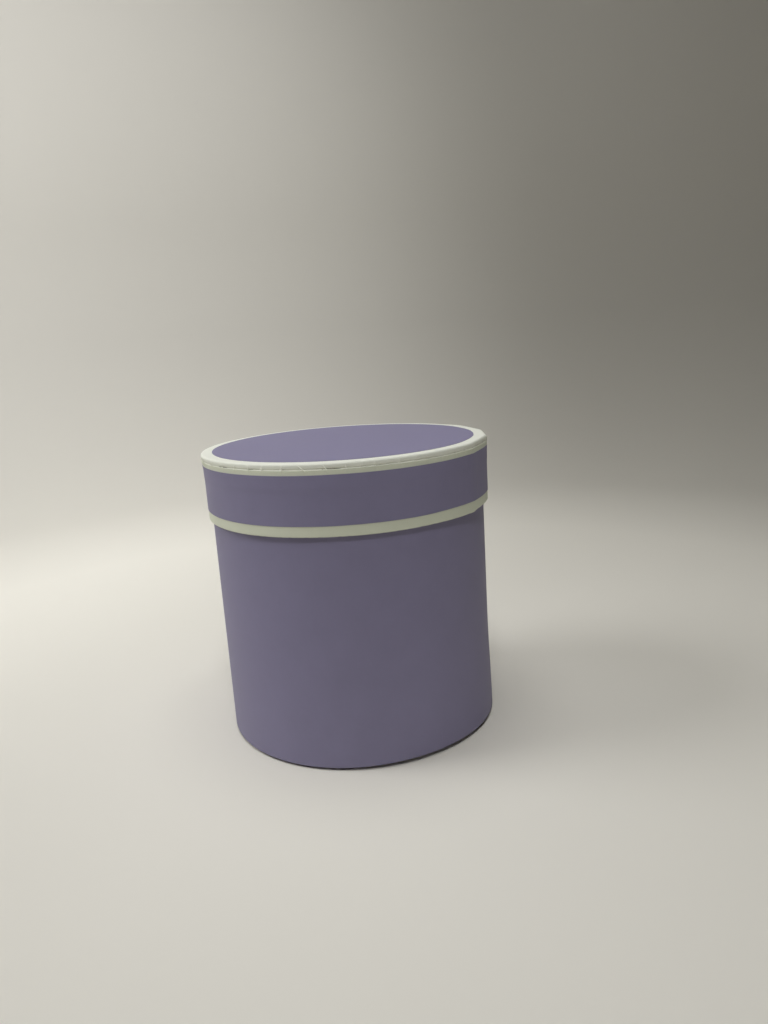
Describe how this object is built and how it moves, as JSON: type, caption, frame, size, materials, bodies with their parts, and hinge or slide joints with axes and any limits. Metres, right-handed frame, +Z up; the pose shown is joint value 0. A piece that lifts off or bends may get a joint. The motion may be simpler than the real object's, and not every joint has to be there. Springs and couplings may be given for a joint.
{
  "type": "flower box",
  "caption": "Round lidded hat box for flowers: a paper-covered cardboard tube with a floor and a deep lift-off lid whose coloured panels leave thin white borders.",
  "frame": {"origin": "middle of the underside, on the box's axis, in the plane the box stands on", "axes": "+Z up along the box's axis, -Y to the front, the wall's seam at the back (+Y)"},
  "size_m": [0.16, 0.16, 0.163],
  "materials": {
    "greyboard": "matte",
    "joint_tape": "matte",
    "lavender_paper": "matte",
    "white_paper": "matte",
    "liner_paper": "matte"
  },
  "bodies": {
    "box": {"body_tube": "greyboard", "body_joint_tape": "joint_tape", "base_disc": "greyboard", "body_wrap": "lavender_paper", "base_cover": "white_paper", "floor_liner": "liner_paper", "body_liner": "liner_paper"},
    "lid": {"lid_disc": "greyboard", "lid_rim": "greyboard", "lid_joint_tape": "joint_tape", "lid_top_cover": "white_paper", "lid_rim_wrap": "white_paper", "lid_top_panel": "lavender_paper", "lid_rim_band": "lavender_paper", "lid_disc_liner": "liner_paper", "lid_rim_liner": "liner_paper"}
  },
  "joints": [
    {"name": "lid_lift", "type": "slide", "parent": "box", "child": "lid", "axis": [0, 0, 1], "range_m": [0, 0.15]}
  ]
}
